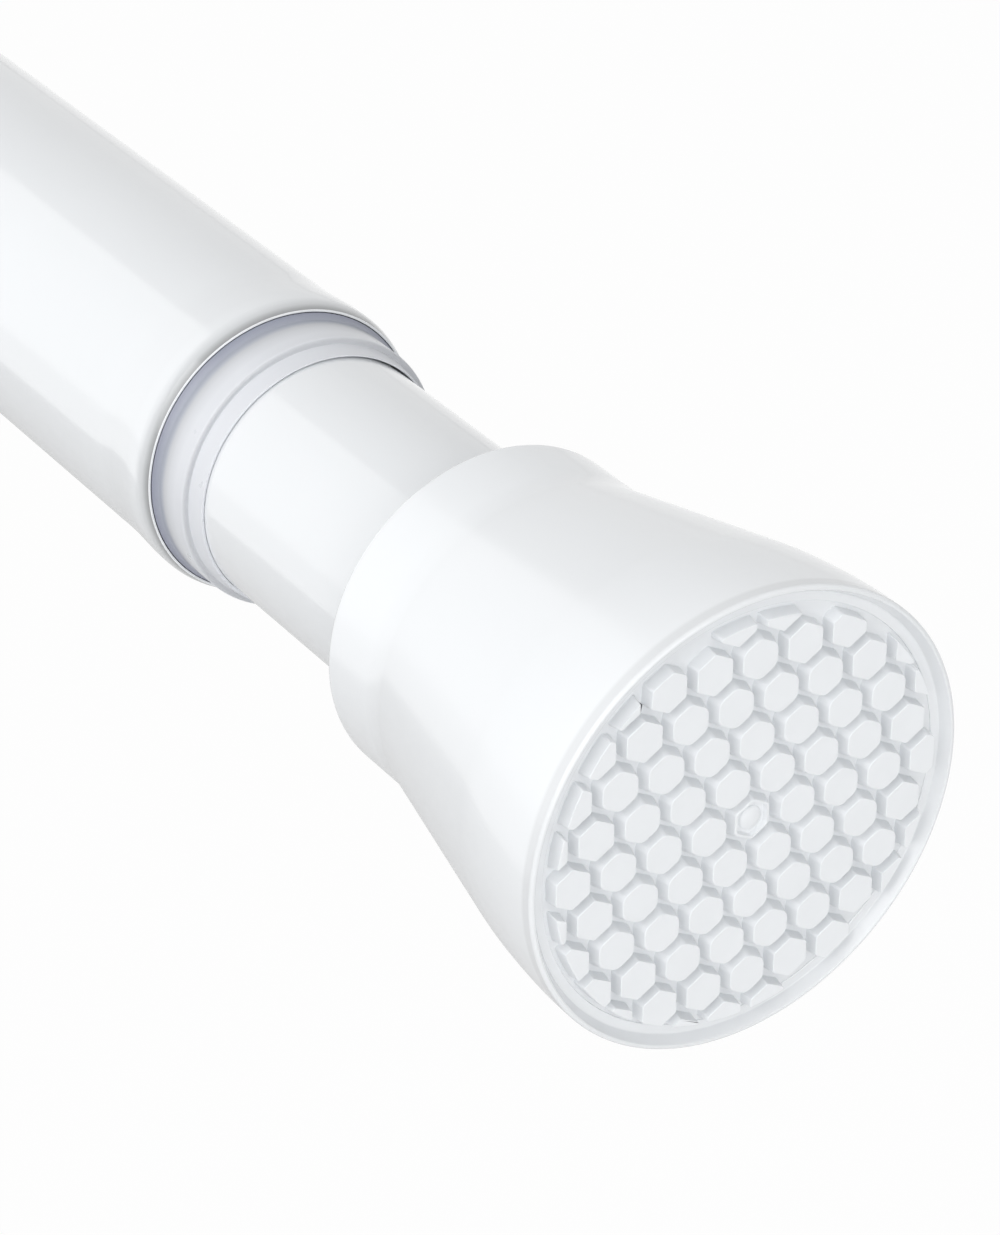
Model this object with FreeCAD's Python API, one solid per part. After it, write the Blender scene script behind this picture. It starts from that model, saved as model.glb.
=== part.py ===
"""Spring tension rod: two telescoping tubes, a twist lock with its spring inside, and a flared foot on each end.

Frame: the origin lies on the axis, on the wall face of the outer tube's pad, +X runs along the rod to the other
wall and +Z is up. The rod is drawn pushed together, as it is sold. All lengths are in millimetres.
"""
import os

import FreeCAD, Part
from FreeCAD import Vector
from math import ceil, cos, hypot, pi, radians, sin, sqrt, tan

# Whole rod
rod_length = 400.0              # wall face to wall face, pushed together
spring_stroke = 22.0            # how far the inner tube pushes in against the spring
foot_clearance = 2.8            # left between the collar and the foot when the spring is pushed in

# Tubes
outer_radius = 12.8
outer_wall = 0.8
inner_radius = 11.0
inner_wall = 0.8
bead_height = 0.32              # rolled bead round the outer tube's mouth
bead_run = 4.7                  # length over which the tube swells into the bead
mouth_roll = 2.3                # from the bead's crest to the mouth's edge
mouth_turn = 0.58               # how far the edge turns in below the bead's crest

# Collar in the mouth
collar_inside = 12.0            # length held in the tube
collar_shoulder = 3.8           # length of the thick band in front of the mouth
collar_lip = 1.45               # length of the thin lip in front of the band
collar_lip_height = 0.45        # radial height of the lip where it leaves the band
collar_lip_edge = 0.2           # radial height of the lip at its edge
collar_bore_gap = 0.3           # between the collar and the sliding tube
collar_lip_gap = 0.15           # the same under the lip

# Foot, the same outside on both ends
foot_length = 34.5
rim_radius = 18.85
neck_radius = 14.35
cone_start = 27.7               # where the neck meets the cone, from the wall face
cone_angle = 11.7
crown_radius = 44.0             # roundness between the cone and the rim
neck_blend = 12.0               # hollow roundness between the neck and the cone
neck_round = 0.9
foot_wall = 1.8
lip_back = 0.1                  # the rim's lip lies this far behind the studs' tops
lip_bevel = 0.25                # bevel of the lip's outer edge
lip_width = 0.15                # flat top of the lip
lip_slope_width = 0.5           # the lip slopes in to the floor ring over this width
ring_depth = 1.0                # floor ring behind the studs' tops
sleeve_wall = 1.4               # inner sleeve round the tube
web_thickness = 1.6             # end wall of the sleeve, which the tube's end meets
ledge_width = 1.5               # ledge under the pad's edge
rib_count = 8
rib_thickness = 1.2
cavity_end_width = 0.4          # width at which the hollow between shell and sleeve ends

# Pad with its hexagonal studs
pad_radius = 17.1
pad_thickness = 1.5
stud_height = 1.1
stud_pitch = 3.925
stud_base_flats = 3.36
stud_top_flats = 3.06
stud_border = 16.9              # the studs are cut off at this circle
stud_row_tilt = 4.0             # degrees
stud_least_share = 0.12         # smaller remains of a stud at the border are left off
gate_flats = 2.3                # recess in the middle stud
gate_depth = 0.4
gate_radius = 0.5               # round mark of the mould's gate in that recess
spigot_radius = 3.0             # snap spigot behind the pad
spigot_head_radius = 3.7
spigot_head_length = 1.5

# Lock ring and its two spring bands
ring_length = 28.0
ring_slot = 2.4
cam_offset = 1.3                # the cam's three lobes are circles set off the axis by this
cam_circle = 6.9                # radius of those circles in the ring
lock_turn = 30.0                # turn that brings the core's lobes against the ring, in degrees
grip_count = 9
grip_width = 1.4
grip_depth = 0.5
band_width = 3.0
band_thickness = 0.5
band_inset = 4.0                # from the ring's end to the band
band_gap = 2.6                  # opening of each band

# Lock core, keeper and screw
core_flange_radius = 10.6
core_flange = 3.0
core_boss_radius = 6.5
core_boss = 7.0
rod_socket = 24.0               # depth of the push rod's socket
keeper_radius = 10.4
keeper_thickness = 1.5
keeper_square = 5.0             # square spigot that turns the keeper with the core
screw_radius = 1.5
screw_length = 12.0
screw_head_radius = 3.4
screw_head = 2.2
screw_slot_width = 0.9
screw_slot_depth = 1.0
screw_hole_spare = 1.0          # the hole is this much deeper than the screw
end_gap = 3.5                   # screw head to the pad's snap head, pushed together
pin_radius = 1.25

# Push rod, stop washer and nut
push_rod_flats = 8.5
stud_thread_radius = 3.0
stop_washer_radius = 7.5
stop_washer = 1.2
nut_flats = 10.0
nut_height = 5.0
nut_collar = 1.2                # round insert at the nut's end
nut_collar_step = 0.4           # the insert's collar is this much inside the nut's flats
thread_end = 1.0                # thread that stands out of the nut

# Spring and its seats
spring_wire = 1.5
spring_mean_radius = 8.0
spring_turns = 9
spring_spare = 14.2             # gaps left between the turns, all together, when it is pushed in
seat_thickness = 1.0
seat_radius = 9.5

# Plug, guide bush and plug pins at the inner tube's end
plug_flange = 3.0
plug_length = 24.0
plug_pin_place = 17.0           # from the tube's end
plug_pin_inside = 3.2           # how deep a pin reaches into the plug's wall
plug_pin_head = 0.35
bush_length = 12.0
bush_slot = 1.5

# Clearances
press_gap = 0.05                # parts that are pressed or glued together
seat_gap = 0.1                  # a part's end to its seat
slide_gap = 0.3                 # parts that slide or turn in each other
face_gap = 0.25                 # flat faces of parts that move

AXIS = Vector(1, 0, 0)
ORIGIN = Vector(0, 0, 0)


def at(x, r):
    """Point of a section, x along the rod and r from its axis."""
    return Vector(x, 0, r)


def line(a, b):
    return Part.LineSegment(at(*a), at(*b)).toShape()


def round_edge(a, b, centre):
    """Arc from a to b about centre, the short way."""
    ax, ar = a[0] - centre[0], a[1] - centre[1]
    bx, br = b[0] - centre[0], b[1] - centre[1]
    reach = hypot(ax, ar) / hypot(ax + bx, ar + br)
    middle = (centre[0] + (ax + bx) * reach, centre[1] + (ar + br) * reach)
    return Part.Arc(at(*a), at(*middle), at(*b)).toShape()


def sweep(a, b, start, end):
    """Smooth curve from a to b that leaves along start and arrives along end."""
    curve = Part.BSplineCurve()
    curve.interpolate(Points=[at(*a), at(*b)], InitialTangent=at(*start), FinalTangent=at(*end))
    return curve.toShape()


def chain(*points):
    """Straight edges through the points."""
    return [line(a, b) for a, b in zip(points, points[1:])]


def turned(edges):
    """Solid of revolution about the rod's axis."""
    return Part.Face(Part.Wire(edges)).revolve(ORIGIN, AXIS, 360)


def rod_piece(x, length, radius):
    return Part.makeCylinder(radius, length, Vector(x, 0, 0), AXIS)


def tube_piece(x, length, radius, bore):
    return rod_piece(x, length, radius).cut(rod_piece(x, length, bore))


def hexagon(x, flats, turn=0.0, y=0.0, z=0.0):
    """Closed hexagon in a plane across the rod, with two corners on its Z axis before the turn."""
    reach = flats / 2 / cos(pi / 6)
    corners = []
    for k in range(7):
        a = radians(turn + 30 + 60 * k)
        corners.append(Vector(x, y + reach * cos(a), z + reach * sin(a)))
    return Part.makePolygon(corners)


def hexagon_bar(x, length, flats):
    return Part.Face(hexagon(x, flats)).extrude(AXIS * length)


def block(x, length, width, height, y=0.0, z=0.0):
    """Box from x on, centred on (y, z)."""
    return Part.makeBox(length, width, height, Vector(x, y - width / 2, z - height / 2))


def spoke(x, length, width, inside, outside, turn):
    """Radial box from radius inside to outside, at an angle from +Z."""
    piece = Part.makeBox(length, width, outside - inside, Vector(x, -width / 2, inside))
    piece.rotate(ORIGIN, AXIS, turn)
    return piece


def facing_back(shape):
    """Turns a piece drawn for the origin's end round to the other end of the rod."""
    other = shape.copy()
    other.rotate(ORIGIN, Vector(0, 0, 1), 180)
    other.translate(Vector(rod_length, 0, 0))
    return other


# Places along the rod that several pieces share
pad_back = stud_height + pad_thickness
web_front = pad_back + press_gap
web_back = web_front + web_thickness
tube_end = web_back + seat_gap
spigot_end = web_back + press_gap + spigot_head_length
outer_bore = outer_radius - outer_wall
inner_bore = inner_radius - inner_wall
exposed_inner = spring_stroke + foot_clearance
mouth = rod_length - foot_length - exposed_inner - collar_lip - collar_shoulder
collar_radius = outer_bore - press_gap

head_start = spigot_end + end_gap
keeper_start = head_start + screw_head
keeper_end = keeper_start + keeper_thickness
ring_start = keeper_end + face_gap
ring_end = ring_start + ring_length
flange_start = ring_end + face_gap
flange_end = flange_start + core_flange
spring_length = spring_turns * spring_wire + spring_stroke + spring_spare
spring_start = flange_end + seat_thickness
spring_end = spring_start + spring_length
plug_start = spring_end + seat_thickness + press_gap
inner_start = plug_start + plug_flange
plug_end = inner_start + plug_length
stop_start = plug_end + face_gap

ring_radius = outer_bore - slide_gap
cone_slope = tan(radians(cone_angle))


def cone_radius(x):
    """Outside radius of the foot's straight cone, x from the wall face."""
    return neck_radius + (cone_start - x) * cone_slope


def foot(bore):
    """Moulded foot: flared shell, sleeve for the tube, end web and ribs, drawn for the origin's end."""
    angle = radians(cone_angle)
    # The crown's arc is tangent to the rim and to the cone
    meet_x = cone_start - (rim_radius - neck_radius) / cone_slope
    crown_reach = crown_radius * tan(angle / 2)
    crown_front = (meet_x - crown_reach, rim_radius)
    crown_back_x = meet_x + crown_reach * cos(angle)
    crown_back = (crown_back_x, cone_radius(crown_back_x))
    # The hollow between cone and neck
    blend_reach = neck_blend * tan(angle / 2)
    blend_front_x = cone_start - blend_reach * cos(angle)
    blend_front = (blend_front_x, cone_radius(blend_front_x))
    blend_back = (cone_start + blend_reach, neck_radius)
    recess = pad_radius + seat_gap
    bevel_top = (lip_back, rim_radius - lip_bevel)
    bevel_foot = (lip_back + lip_bevel, rim_radius)
    slope_top = (lip_back, bevel_top[1] - lip_width)
    slope_foot = (ring_depth, slope_top[1] - lip_slope_width)
    hole = spigot_radius + seat_gap
    edges = chain((web_front, hole), (web_front, recess), (ring_depth, recess), slope_foot, slope_top, bevel_top,
                  bevel_foot, crown_front)
    edges += [
        round_edge(crown_front, crown_back, (crown_front[0], rim_radius - crown_radius)),
        line(crown_back, blend_front),
        round_edge(blend_front, blend_back, (blend_back[0], neck_radius + neck_blend)),
        line(blend_back, (foot_length - neck_round, neck_radius)),
        round_edge((foot_length - neck_round, neck_radius), (foot_length, neck_radius - neck_round),
                   (foot_length - neck_round, neck_radius - neck_round)),
    ]
    edges += chain((foot_length, neck_radius - neck_round), (foot_length, bore), (web_back, bore),
                   (web_back, hole), (web_front, hole))
    shell = turned(edges)
    # Hollow between shell and sleeve, open under the pad
    sleeve = bore + sleeve_wall
    ledge = pad_radius - ledge_width
    wall_across = foot_wall / cos(angle)

    def hollow_place(radius):
        return cone_start - (radius + wall_across - neck_radius) / cone_slope

    hollow_end = hollow_place(sleeve + cavity_end_width)
    hollow = turned(chain((web_front, sleeve), (web_front, ledge), (hollow_place(ledge), ledge),
                          (hollow_end, sleeve + cavity_end_width), (hollow_end, sleeve), (web_front, sleeve)))
    ribs = [spoke(web_front, hollow_end - web_front, rib_thickness, sleeve - sleeve_wall / 2,
                  ledge + foot_wall / 2, 360 * k / rib_count) for k in range(rib_count)]
    return shell.cut(hollow.cut(ribs))


def stud(y, z):
    """One drafted hexagonal stud, its top in the wall face."""
    base = hexagon(stud_height, stud_base_flats, stud_row_tilt, y, z)
    top = hexagon(0, stud_top_flats, stud_row_tilt, y, z)
    low = [v.Point for v in base.OrderedVertexes]
    high = [v.Point for v in top.OrderedVertexes]
    faces = [Part.Face(base), Part.Face(top)]
    for k in range(6):
        n = (k + 1) % 6
        faces.append(Part.Face(Part.makePolygon([low[k], low[n], high[n], high[k], low[k]])))
    return Part.makeSolid(Part.makeShell(faces))


def pad():
    """Rubber pad with its studs, cut off at a circle, and the snap spigot that holds it."""
    whole, cut_off = [], []
    reach = stud_base_flats / 2 / cos(pi / 6)
    turn = radians(stud_row_tilt)
    rows = ceil(2 * stud_border / stud_pitch)
    for i in range(-rows, rows + 1):
        for j in range(-rows, rows + 1):
            u = stud_pitch * (i + j / 2)
            v = stud_pitch * j * sqrt(3) / 2
            y = u * cos(turn) - v * sin(turn)
            z = u * sin(turn) + v * cos(turn)
            if hypot(y, z) + reach <= stud_border:
                whole.append(stud(y, z))
            elif hypot(y, z) - reach < stud_border:
                cut_off.append(stud(y, z))
    least = stud_least_share * stud(0, 0).Volume
    border = rod_piece(0, stud_height, stud_border)
    for piece in cut_off:
        rest = piece.common(border)
        if rest.Solids and rest.Volume > least:
            whole.append(rest.Solids[0])
    body = rod_piece(stud_height, pad_thickness, pad_radius).fuse(whole)
    # Middle stud: recess with the mark of the gate
    gate = Part.Face(hexagon(0, gate_flats, stud_row_tilt)).extrude(AXIS * gate_depth)
    body = body.cut(gate.cut(rod_piece(0, gate_depth, gate_radius)))
    spigot = rod_piece(pad_back, web_back + press_gap - pad_back, spigot_radius)
    head_back = web_back + press_gap
    head = turned(chain((head_back, 0), (head_back, spigot_head_radius),
                        (spigot_end, spigot_radius - seat_gap), (spigot_end, 0), (head_back, 0)))
    return body.fuse([spigot, head]).removeSplitter()


def outer_tube():
    """Outer tube with a rolled bead round its mouth."""
    crest = mouth - mouth_roll
    swell = crest - bead_run
    bead_radius = outer_radius + bead_height
    edge_radius = bead_radius - mouth_turn
    along, inward = (1, 0), (0, -1)
    edges = [
        line((tube_end, outer_bore), (tube_end, outer_radius)),
        line((tube_end, outer_radius), (swell, outer_radius)),
        sweep((swell, outer_radius), (crest, bead_radius), along, along),
        sweep((crest, bead_radius), (mouth, edge_radius), along, inward),
        line((mouth, edge_radius), (mouth, outer_bore)),
        line((mouth, outer_bore), (mouth - mouth_roll / 2, outer_bore)),
        sweep((mouth - mouth_roll / 2, outer_bore), (crest, bead_radius - outer_wall), (-1, 0), (-1, 0)),
        sweep((crest, bead_radius - outer_wall), (swell, outer_bore), (-1, 0), (-1, 0)),
        line((swell, outer_bore), (tube_end, outer_bore)),
    ]
    return turned(edges)


def mouth_collar():
    """Clear collar: a sleeve in the mouth, a thick band in front of it and a thin lip on the inner tube."""
    front = mouth + collar_shoulder
    end = front + collar_lip
    inside = mouth - collar_inside
    bore = inner_radius + collar_bore_gap
    lip_bore = inner_radius + collar_lip_gap
    step = lip_bore + collar_lip_height
    round_start = front - (collar_radius - step)
    edges = [round_edge((round_start, collar_radius), (front, step), (round_start, step))]
    edges += chain((front, step), (end, lip_bore + collar_lip_edge), (end, lip_bore), (round_start, lip_bore),
                   (round_start, bore), (inside, bore), (inside, collar_radius), (round_start, collar_radius))
    return turned(edges)


def cam(x, length, circle):
    """Three-lobed bar: circles set off the axis."""
    lobes = []
    for k in range(3):
        a = 2 * pi * k / 3
        centre = Vector(x, -cam_offset * sin(a), cam_offset * cos(a))
        lobes.append(Part.makeCylinder(circle, length, centre, AXIS))
    return lobes[0].fuse(lobes[1:]).removeSplitter()


def core_circle():
    """Radius of the core's lobes, which meet the ring where two of its lobes join once they are turned."""
    join = cam_offset * cos(pi / 3) + sqrt(cam_circle ** 2 - (cam_offset * sin(pi / 3)) ** 2)
    turn = pi / 3 - radians(lock_turn)
    return hypot(join - press_gap - cam_offset * cos(turn), cam_offset * sin(turn))


def lock_ring():
    """Split sleeve that the cam spreads against the outer tube's bore."""
    ring = rod_piece(ring_start, ring_length, ring_radius)
    cuts = [cam(ring_start, ring_length, cam_circle)]
    # The slot stands where two lobes meet and the wall is thickest
    cuts.append(spoke(ring_start, ring_length, ring_slot, 0, 2 * ring_radius, 180))
    for k in range(1, grip_count):
        turn = 180 + 360 * k / grip_count
        cuts.append(spoke(ring_start, ring_length, grip_width, ring_radius - grip_depth, 2 * ring_radius, turn))
    for x in band_places():
        cuts.append(tube_piece(x - seat_gap, band_width + 2 * seat_gap, 2 * ring_radius,
                               ring_radius - band_thickness - seat_gap))
    return ring.cut(cuts)


def band_places():
    return ring_start + band_inset, ring_end - band_inset - band_width


def lock_band(x):
    """Open spring band that closes the ring round the cam."""
    band = tube_piece(x, band_width, ring_radius - seat_gap / 2, ring_radius - band_thickness - seat_gap / 2)
    return band.cut(spoke(x, band_width, band_gap, 0, 2 * ring_radius, 0))


def lock_core():
    """Three-lobed cam with the spring's flange and the push rod's socket."""
    core = cam(keeper_end, flange_start - keeper_end, core_circle())
    core = core.fuse([
        rod_piece(flange_start, core_flange, core_flange_radius),
        rod_piece(flange_end, core_boss, core_boss_radius),
        block(keeper_start + seat_gap, keeper_end - keeper_start, keeper_square, keeper_square),
    ])
    socket = hexagon_bar(flange_end + core_boss - rod_socket, rod_socket, push_rod_flats + 2 * press_gap)
    screw_hole = rod_piece(keeper_start, screw_length + screw_hole_spare, screw_radius + press_gap)
    return core.cut([socket, screw_hole, core_pin_hole()]).removeSplitter()


def core_pin_place():
    return flange_end + core_boss / 2 + seat_thickness / 2


def core_pin_hole():
    radius = pin_radius + press_gap
    low = Vector(core_pin_place(), 0, -core_boss_radius)
    return Part.makeCylinder(radius, 2 * core_boss_radius, low, Vector(0, 0, 1))


def core_pin():
    """Cross pin that holds the push rod in the core."""
    half = core_boss_radius - seat_gap
    low = Vector(core_pin_place(), 0, -half)
    return Part.makeCylinder(pin_radius, 2 * half, low, Vector(0, 0, 1))


def keeper_plate():
    """Disc that keeps the ring on the cam."""
    plate = rod_piece(keeper_start, keeper_thickness, keeper_radius)
    square = keeper_square + 2 * press_gap
    return plate.cut(block(keeper_start, keeper_thickness, square, square))


def keeper_screw():
    """Slotted pan-head screw in the core's end."""
    head_end = keeper_start - press_gap
    top = head_end - screw_head
    dome = screw_head / 2
    dome_radius = (screw_head_radius ** 2 + dome ** 2) / (2 * dome)
    dome_edge = (top + dome, screw_head_radius)
    edges = [round_edge(dome_edge, (top, 0), (top + dome_radius, 0))]
    edges += chain((top, 0), (head_end, 0), (head_end, screw_head_radius), dome_edge)
    shank = rod_piece(head_end, screw_length, screw_radius)
    slot = block(top, screw_slot_depth, 2 * screw_head_radius, screw_slot_width)
    return turned(edges).fuse(shank).cut(slot)


def push_rod():
    """Hexagonal bar from the core through the spring and the plug, with a threaded end."""
    start = flange_end + core_boss - rod_socket + seat_gap
    bar = hexagon_bar(start, stop_start - start, push_rod_flats)
    stud_length = stop_washer + nut_height + nut_collar + thread_end
    thread = rod_piece(stop_start, stud_length, stud_thread_radius - press_gap)
    return bar.fuse(thread).cut(core_pin_hole())


def stop_washer_piece():
    return tube_piece(stop_start, stop_washer, stop_washer_radius, stud_thread_radius)


def stop_nut():
    """Locking nut: hexagon with a round insert collar."""
    x = stop_start + stop_washer
    collar = rod_piece(x + nut_height, nut_collar, nut_flats / 2 - nut_collar_step)
    nut = hexagon_bar(x, nut_height, nut_flats).fuse(collar)
    return nut.cut(rod_piece(x, nut_height + nut_collar, stud_thread_radius))


def seat_washer(x, bore):
    return tube_piece(x, seat_thickness, seat_radius, bore)


def compression_spring():
    """Coil spring with its ends ground flat; the wire's section is a hexagon to keep the facets few."""
    reach = spring_wire / 2
    length = spring_length - 2 * press_gap
    helix = Part.makeHelix(length / spring_turns, length, spring_mean_radius)
    corners = [Vector(spring_mean_radius + reach * cos(pi * k / 3), 0, reach * sin(pi * k / 3)) for k in range(6)]
    coil = helix.makePipeShell([Part.makePolygon(corners + corners[:1])], True, True)
    coil.rotate(ORIGIN, Vector(0, 1, 0), 90)
    coil.translate(Vector(spring_start + press_gap, 0, 0))
    return coil.common(rod_piece(spring_start + press_gap, length, 2 * spring_mean_radius))


def slider_plug():
    """Plug pressed into the inner tube's end, with a hexagonal bore for the push rod."""
    plug = rod_piece(inner_start, plug_length, inner_bore - press_gap)
    plug = plug.fuse(rod_piece(plug_start, plug_flange, ring_radius))
    bore = hexagon_bar(plug_start, plug_flange + plug_length, push_rod_flats + 2 * slide_gap)
    return plug.cut([bore] + plug_pin_holes())


def plug_pin_holes():
    return plug_pin_pair(pin_radius + press_gap, inner_bore - plug_pin_inside)


def plug_pin_pair(radius, bottom):
    """Two round bars across the inner tube, from radius bottom out past its wall, above and below."""
    x = inner_start + plug_pin_place
    length = inner_radius + plug_pin_head - bottom
    return [Part.makeCylinder(radius, length, Vector(x, 0, side * bottom), Vector(0, 0, side)) for side in (1, -1)]


def plug_pins():
    """Two pins through the tube's wall into the plug, their ends standing a little out of the tube."""
    return Part.makeCompound(plug_pin_pair(pin_radius, inner_bore - plug_pin_inside + seat_gap))


def guide_bush():
    """Split sleeve round the inner tube's end that runs in the outer tube."""
    start = inner_start + seat_gap
    bush = tube_piece(start, bush_length, ring_radius, inner_radius + press_gap)
    return bush.cut(spoke(start, bush_length, bush_slot, 0, 2 * ring_radius, 0))


def inner_tube():
    """Inner tube from the plug to the far foot, with its two pin holes."""
    length = rod_length - tube_end - inner_start
    return tube_piece(inner_start, length, inner_radius, inner_bore).cut(plug_pin_holes())


def build():
    """Every piece of the rod by its node name."""
    bands = [lock_band(x) for x in band_places()]
    return {
        "outer_end_pad": pad(),
        "outer_end_cap": foot(outer_radius + press_gap),
        "outer_tube": outer_tube(),
        "mouth_collar": mouth_collar(),
        "lock_ring": lock_ring(),
        "lock_band_rear": bands[0],
        "lock_band_front": bands[1],
        "lock_core": lock_core(),
        "keeper_plate": keeper_plate(),
        "keeper_screw": keeper_screw(),
        "core_pin": core_pin(),
        "push_rod": push_rod(),
        "core_seat_washer": seat_washer(flange_end, core_boss_radius + slide_gap),
        "compression_spring": compression_spring(),
        "plug_seat_washer": seat_washer(spring_end, push_rod_flats / 2 / cos(pi / 6) + 2 * slide_gap),
        "stop_washer": stop_washer_piece(),
        "stop_nut": stop_nut(),
        "slider_plug": slider_plug(),
        "plug_pins": plug_pins(),
        "guide_bush": guide_bush(),
        "inner_tube": inner_tube(),
        "inner_end_cap": facing_back(foot(inner_radius + press_gap)),
        "inner_end_pad": facing_back(pad()),
    }


os.makedirs("parts", exist_ok=True)
for name, shape in build().items():
    shape.exportStep("parts/" + name + ".step")
    print(name, shape.isValid(), len(shape.Solids), round(shape.Volume, 1))
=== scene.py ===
"""Looks of a spring tension rod: painted tubes, clear collar, flared feet, studded pads and the lock inside.

Laid out as an add-on. Its panel in the sidebar has a button for each group of pieces and one for the stage.
Lengths are in metres in the rod's own frame: +X runs along the rod to the inner tube's end and +Z is up.
"""
from math import ceil, cos, hypot, pi, radians, sin, sqrt, tan

import bmesh
import bpy
from bpy.props import FloatProperty, FloatVectorProperty, IntProperty, PointerProperty
from mathutils import Euler, Matrix, Vector


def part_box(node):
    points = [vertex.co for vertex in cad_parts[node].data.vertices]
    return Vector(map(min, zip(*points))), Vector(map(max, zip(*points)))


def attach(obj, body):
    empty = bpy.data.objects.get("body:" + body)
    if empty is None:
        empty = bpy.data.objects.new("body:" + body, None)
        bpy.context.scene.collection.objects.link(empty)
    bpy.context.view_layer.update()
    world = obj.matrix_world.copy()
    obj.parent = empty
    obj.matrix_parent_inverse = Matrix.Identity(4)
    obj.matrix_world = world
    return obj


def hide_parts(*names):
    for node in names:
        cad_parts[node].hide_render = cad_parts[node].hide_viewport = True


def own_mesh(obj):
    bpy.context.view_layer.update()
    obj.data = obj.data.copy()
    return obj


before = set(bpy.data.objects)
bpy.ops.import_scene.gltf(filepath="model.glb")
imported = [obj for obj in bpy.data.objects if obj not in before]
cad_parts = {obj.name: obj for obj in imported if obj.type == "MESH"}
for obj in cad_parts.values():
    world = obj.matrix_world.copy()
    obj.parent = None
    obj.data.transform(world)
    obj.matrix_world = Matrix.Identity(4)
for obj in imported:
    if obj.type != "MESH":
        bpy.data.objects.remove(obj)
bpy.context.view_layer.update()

bl_info = {
    "name": "Spring tension rod",
    "version": (1, 0, 0),
    "blender": (4, 5, 0),
    "location": "3D View > Sidebar > Rod",
    "description": "Finished pieces of a spring tension rod and the stage it stands on",
    "category": "Object",
}

MM = 0.001
AXIS = Vector((1, 0, 0))
CENTRE = Vector((0, 0, 0))


def node_start(node):
    """Where a node begins along the rod."""
    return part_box(node)[0].x


def node_end(node):
    """Where a node ends along the rod."""
    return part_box(node)[1].x


def length(name, millimetres, description):
    return FloatProperty(name=name, description=description, default=millimetres * MM, unit="LENGTH", precision=5)


def colour(name, value, description):
    return FloatVectorProperty(name=name, description=description, default=value, size=3, subtype="COLOR",
                               min=0, max=1)


def share(name, value, description):
    return FloatProperty(name=name, description=description, default=value, min=0, max=1, subtype="FACTOR")


class TubeSizes(bpy.types.PropertyGroup):
    """Sizes of the two tubes and of the collar between them."""
    outer_radius: length("Outer tube radius", 12.8, "Outside radius of the outer tube")
    inner_radius: length("Inner tube radius", 11.0, "Outside radius of the inner tube")
    wall: length("Tube wall", 0.8, "Wall of both tubes")
    bead_height: length("Bead height", 0.32, "How far the rolled bead stands above the outer tube")
    bead_start: length("Bead start", 7.0, "Distance from the mouth at which the tube starts to swell")
    bead_crest: length("Bead crest", 2.3, "Distance from the mouth to the bead's crest")
    mouth_turn: length("Mouth turn", 0.42, "How far the mouth's edge turns in below the bead's crest")
    edge_width: length("Edge width", 0.18, "Width of the cut edge that shows round the mouth")
    band_radius: length("Collar band radius", 12.05, "Radius of the collar's thick band in front of the mouth")
    seat_height: length("Collar seat height", 0.42, "Height of the collar's flared seat in the mouth over its band")
    seat_width: length("Collar seat width", 0.5, "Length of that seat before and behind the mouth")
    shoulder: length("Collar shoulder", 4.3, "Length of the collar's thick band in front of the mouth")
    lip_reach: length("Lip reach", 0.8, "How far the collar's thin lip runs on past its solid")
    lip_height: length("Collar lip height", 0.45, "Radial height of the collar's lip where it leaves the band")
    lip_edge: length("Collar lip edge", 0.2, "Radial height of the collar's lip at its edge")
    collar_gap: length("Collar gap", 0.3, "Gap between the collar and the inner tube")
    lip_gap: length("Lip gap", 0.08, "Gap between the collar's lip and the inner tube")
    play: length("Play", 0.07, "How far the lip's bore sits off the rod's axis")
    play_side: FloatProperty(name="Play side", description="Side to which the lip's bore is shifted, from +Y",
                             default=radians(60), subtype="ANGLE")


class FootSizes(bpy.types.PropertyGroup):
    """Sizes of the moulded foot, measured from its wall face."""
    length: length("Length", 34.5, "Length of the foot")
    rim_radius: length("Rim radius", 18.85, "Largest radius, at the rim")
    neck_radius: length("Neck radius", 14.35, "Radius of the cylindrical neck")
    cone_start: length("Cone start", 27.7, "Place at which the neck meets the cone")
    cone_angle: FloatProperty(name="Cone angle", description="Slope of the cone against the rod's axis",
                              default=radians(11.7), subtype="ANGLE")
    crown_radius: length("Crown radius", 44.0, "Roundness between the cone and the rim")
    neck_blend: length("Neck blend", 12.0, "Hollow roundness between the neck and the cone")
    neck_round: length("Neck round", 0.6, "Rounding of the neck's rear edge")
    lip_back: length("Lip back", 0.1, "How far the rim's lip lies behind the wall face")
    lip_round: length("Lip round", 0.3, "Rounding of the lip's outer edge")
    lip_width: length("Lip width", 0.4, "Width of the lip's top, its outer rounding included")
    slope_width: length("Slope width", 0.5, "Width over which the lip slopes in to the floor ring")
    ring_depth: length("Ring depth", 1.0, "Depth of the floor ring behind the wall face")
    recess_radius: length("Recess radius", 17.2, "Radius of the recess that takes the pad")
    web_thickness: length("Web", 1.6, "Thickness of the sleeve's end wall")
    sleeve_wall: length("Sleeve wall", 1.4, "Wall of the sleeve round the tube")
    shell_wall: length("Shell wall", 1.8, "Wall of the flared shell")
    ledge: length("Ledge", 1.6, "Width of the ledge that the pad's edge rests on")
    rib_thickness: length("Rib thickness", 1.2, "Thickness of the ribs between sleeve and shell")
    rib_count: IntProperty(name="Ribs", description="Number of ribs between sleeve and shell", default=8, min=3)


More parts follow.
